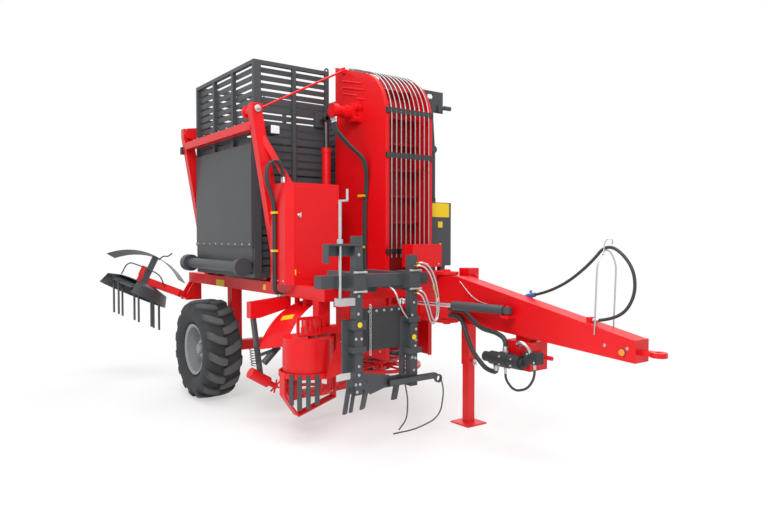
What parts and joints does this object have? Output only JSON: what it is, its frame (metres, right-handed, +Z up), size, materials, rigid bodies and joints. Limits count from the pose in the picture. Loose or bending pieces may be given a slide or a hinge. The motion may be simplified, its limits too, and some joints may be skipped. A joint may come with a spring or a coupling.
{
  "type": "trailed sugar beet harvester",
  "caption": "Trailed single-row sugar beet harvester: topper, lifting cage and elevator feed a slatted side-tipping bunker, on two wheels with a steered drawbar and jack.",
  "frame": {"origin": "on the ground at the middle of the machine's footprint", "axes": "+X forward along the drawbar, +Y left, +Z up"},
  "size_m": [6.687, 3.1246, 3.5651],
  "materials": {
    "red_paint": "signal red machine paint, gloss",
    "grey_paint": "dark grey paint, satin",
    "black_paint": "black paint, satin",
    "bare_steel": "bare and zinc-plated steel",
    "rim_paint": "light grey rim paint",
    "tyre_rubber": "new tyre rubber",
    "black_rubber": "black rubber sheet and hose",
    "bright_rod": "hard chrome piston rod"
  },
  "bodies": {
    "chassis": {"chassis_frame": "red_paint", "axle_beam": "red_paint", "portal_frame": "red_paint", "oil_cabinet": "red_paint", "valve_cabinet": "grey_paint", "toolbox": "red_paint", "elevator_housing": "red_paint", "elevator_web": "red_paint", "elevator_guard": "bare_steel", "elevator_drive": "red_paint", "topper_frame": "grey_paint", "topper_spindle": "bare_steel", "topper_curtain": "black_rubber", "row_feelers": "bare_steel", "lifter_frame": "red_paint", "lifter_hood": "red_paint", "cleaner_bracket": "red_paint", "work_lamps": "black_paint", "elevator_hoses": "black_rubber", "tank_hoses": "black_rubber", "elevator_tensioner": "grey_paint", "lifter_bars": "grey_paint", "lifter_motor": "red_paint"},
    "wheel_right": {"tyre_right": "tyre_rubber", "rim_right": "rim_paint"},
    "wheel_left": {"tyre_left": "tyre_rubber", "rim_left": "rim_paint"},
    "bunker": {"bunker_wall_right": "grey_paint", "bunker_wall_left": "grey_paint", "bunker_wall_front": "grey_paint", "bunker_wall_rear": "grey_paint", "bunker_floor": "grey_paint", "bunker_side_panel": "grey_paint", "bunker_roller": "grey_paint", "tip_arms": "red_paint"},
    "tip_barrel_pair": {"tip_barrels": "red_paint"},
    "tip_rod_pair": {"tip_rods": "bright_rod"},
    "drawbar": {"drawbar_beam": "red_paint", "hitch_eye": "red_paint", "drive_pump": "black_paint", "jack_sleeve": "red_paint", "drive_gearbox": "red_paint", "drawbar_hoses": "black_rubber", "hose_holder": "bare_steel", "loop_hose": "black_rubber"},
    "jack": {"jack_leg": "red_paint"},
    "steer_cylinder": {"steer_barrel": "grey_paint"},
    "steer_piston": {"steer_rod": "bright_rod"},
    "cleaner": {"cleaner_arm": "red_paint", "cleaner_hood": "grey_paint", "cleaner_guard": "grey_paint"},
    "cleaner_head": {"cleaner_rotor": "black_rubber"},
    "cage": {"lifting_cage": "red_paint"},
    "star": {"cleaning_star": "red_paint"}
  },
  "joints": [
    {"name": "wheel_right_spin", "type": "hinge", "parent": "chassis", "child": "wheel_right", "pos_m": [-1.2015, -0.84267, 0.5375], "axis": [0, 1, 0], "continuous": true},
    {"name": "wheel_left_spin", "type": "hinge", "parent": "chassis", "child": "wheel_left", "pos_m": [-1.2015, 1.35733, 0.5375], "axis": [0, 1, 0], "continuous": true},
    {"name": "bunker_tip", "type": "hinge", "parent": "chassis", "child": "bunker", "pos_m": [-1.2015, -0.80267, 2.98], "axis": [1, 0, 0], "range_deg": [0, 100]},
    {"name": "tip_barrel_swing", "type": "hinge", "parent": "chassis", "child": "tip_barrel_pair", "pos_m": [-1.2015, 0.05733, 1.4], "axis": [1, 0, 0], "range_deg": [-1, 24]},
    {"name": "tip_rod_slide", "type": "slide", "parent": "tip_barrel_pair", "child": "tip_rod_pair", "axis": [0, 0, 1], "range_m": [-0.005, 1.043]},
    {"name": "drawbar_steer", "type": "hinge", "parent": "chassis", "child": "drawbar", "pos_m": [1.1585, 0.56733, 1.2], "axis": [0, 0, 1], "range_deg": [-20, 20]},
    {"name": "steer_barrel_swing", "type": "hinge", "parent": "drawbar", "child": "steer_cylinder", "pos_m": [2.0485, 0.42733, 1.16], "axis": [0, 0, 1], "range_deg": [-12, 12]},
    {"name": "steer_rod_slide", "type": "slide", "parent": "steer_cylinder", "child": "steer_piston", "axis": [-0.9866, -0.163, 0], "range_m": [-0.13, 0.13]},
    {"name": "jack_slide", "type": "slide", "parent": "drawbar", "child": "jack", "axis": [0, 0, 1], "range_m": [0, 0.4]},
    {"name": "cleaner_lift", "type": "hinge", "parent": "chassis", "child": "cleaner", "pos_m": [-2.4215, -0.64267, 1.01], "axis": [-1, 0, 0], "range_deg": [-26, 6]},
    {"name": "cleaner_spin", "type": "hinge", "parent": "cleaner", "child": "cleaner_head", "pos_m": [-2.8715, -1.1313, 1.12593], "axis": [0, 0.4384, 0.8988], "continuous": true},
    {"name": "cage_spin", "type": "hinge", "parent": "chassis", "child": "cage", "pos_m": [0.6985, -0.65767, 0.88], "axis": [0, 0, 1], "continuous": true},
    {"name": "star_spin", "type": "hinge", "parent": "chassis", "child": "star", "pos_m": [0.2285, 0.46733, 0.43], "axis": [0, 0, 1], "continuous": true}
  ],
  "couplings": [
    {"joint": "tip_barrel_swing", "follows": "bunker_tip", "ratio": 0.23007},
    {"joint": "tip_rod_slide", "follows": "bunker_tip", "m_per_rad": 0.5918},
    {"joint": "steer_barrel_swing", "follows": "drawbar_steer", "ratio": -0.26264},
    {"joint": "steer_rod_slide", "follows": "drawbar_steer", "m_per_rad": 0.28081}
  ]
}
